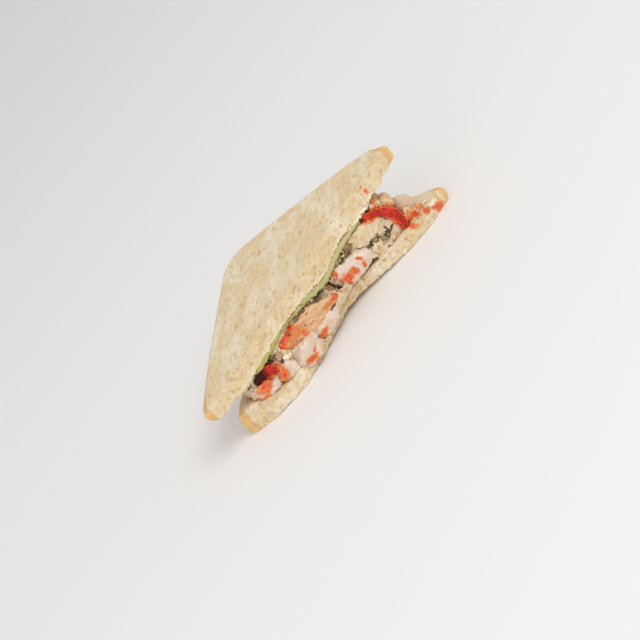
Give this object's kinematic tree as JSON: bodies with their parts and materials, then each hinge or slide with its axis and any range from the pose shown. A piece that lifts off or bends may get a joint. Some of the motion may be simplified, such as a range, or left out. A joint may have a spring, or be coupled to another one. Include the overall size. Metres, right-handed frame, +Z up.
{
  "type": "turkey sandwich",
  "caption": "Half of a turkey sandwich on white toast bread, cut corner to corner, with a lettuce leaf, herb cream, turkey chunks and red sauce showing at the cut.",
  "frame": {"origin": "on the flat underside of the lower slice, under the middle of the half slice", "axes": "+X along the cut towards the tip where the slices gape, -Y out of the cut face, +Y towards the crusts' right-angled corner, +Z up"},
  "size_m": [0.1565, 0.0808, 0.0435],
  "materials": {
    "bread": "porous white toast crumb with a golden brown crust",
    "cream": "moist pale herb cream",
    "lettuce": "thin pale green leaf, slightly waxy",
    "turkey": "cooked white meat with orange brown seared sides and herbs",
    "red_sauce": "thick glossy dark red sauce"
  },
  "bodies": {
    "root": {"bread_lower": "bread", "bread_upper": "bread", "cream_spread": "cream", "lettuce_leaf": "lettuce", "turkey_tip_slab": "turkey", "turkey_tip_crumb": "turkey", "turkey_herb_crumb": "turkey", "turkey_cream_block": "turkey", "turkey_grey_block": "turkey", "turkey_small_block": "turkey", "turkey_shadow_block": "turkey", "turkey_pink_block": "turkey", "turkey_dark_block": "turkey", "turkey_long_block": "turkey", "turkey_pale_block": "turkey", "turkey_spot_block": "turkey", "turkey_amber_block": "turkey", "turkey_white_block": "turkey", "turkey_heel_block": "turkey", "sauce_dollop": "red_sauce", "sauce_band": "red_sauce"}
  },
  "joints": []
}
